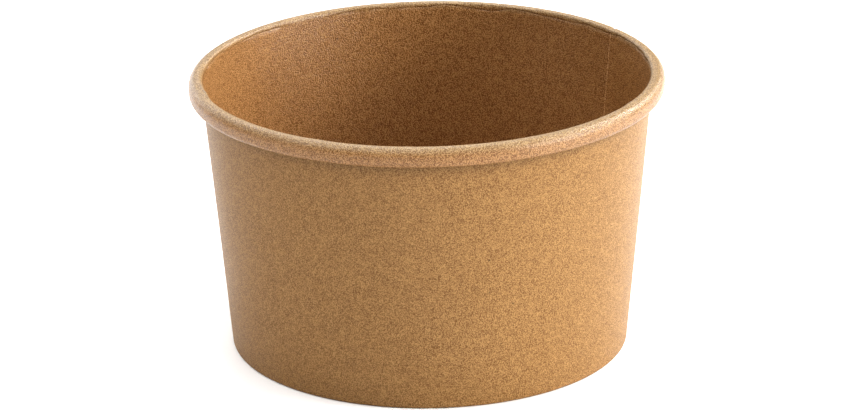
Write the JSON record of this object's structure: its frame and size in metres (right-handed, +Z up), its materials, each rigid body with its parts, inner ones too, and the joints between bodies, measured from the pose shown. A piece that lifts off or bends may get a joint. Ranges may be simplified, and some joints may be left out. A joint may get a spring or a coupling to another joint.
{
  "type": "paper ice cream tub",
  "caption": "Round tapered tub of brown paperboard with an outward rolled rim, a lapped side seam and a recessed bottom disc held in a folded foot.",
  "frame": {"origin": "centre of the foot's circle, on the surface that the tub stands on", "axes": "+Z up along the tub's axis, towards the mouth; +X is 33 degrees clockwise, seen from above, of the inner edge of the side seam"},
  "size_m": [0.098, 0.098, 0.0579],
  "materials": {
    "wall_board": "brown kraft board, matt outside, thin clear lining inside",
    "floor_board": "brown kraft board with a thin clear lining on top"
  },
  "bodies": {
    "root": {"side_wall": "wall_board", "bottom_disc": "floor_board"}
  },
  "joints": []
}
